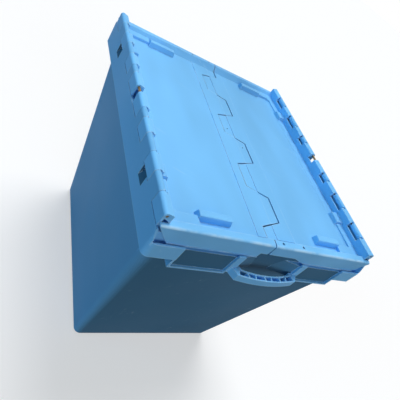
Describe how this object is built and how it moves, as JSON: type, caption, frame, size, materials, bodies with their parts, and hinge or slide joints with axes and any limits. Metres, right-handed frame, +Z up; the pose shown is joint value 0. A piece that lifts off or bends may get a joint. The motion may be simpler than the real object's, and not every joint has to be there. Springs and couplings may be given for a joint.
{
  "type": "stacking crate",
  "caption": "Deep tapered plastic crate with an attached lid of two interlocking flaps on wire hinges, moulded end grips and stacking lugs.",
  "frame": {"origin": "centre of the base, on the floor under the stacking foot", "axes": "+Y along the crate towards one end grip, +X across it towards one hinge, +Z up"},
  "size_m": [0.3, 0.391, 0.322],
  "materials": {
    "tub_plastic": "satin moulded polypropylene, blue",
    "lid_plastic": "satin moulded polypropylene, light blue",
    "pin_steel": "drawn wire, yellow zinc plated"
  },
  "bodies": {
    "crate": {"container": "tub_plastic", "hinge_pin_left": "pin_steel", "hinge_pin_right": "pin_steel"},
    "flap_left": {"lid_flap_left": "lid_plastic"},
    "flap_right": {"lid_flap_right": "lid_plastic"}
  },
  "joints": [
    {"name": "hinge_left", "type": "hinge", "parent": "crate", "child": "flap_left", "pos_m": [-0.1464, 0, 0.3184], "axis": [0, -1, 0], "range_deg": [0, 270]},
    {"name": "hinge_right", "type": "hinge", "parent": "crate", "child": "flap_right", "pos_m": [0.1464, 0, 0.3184], "axis": [0, 1, 0], "range_deg": [0, 270]}
  ]
}
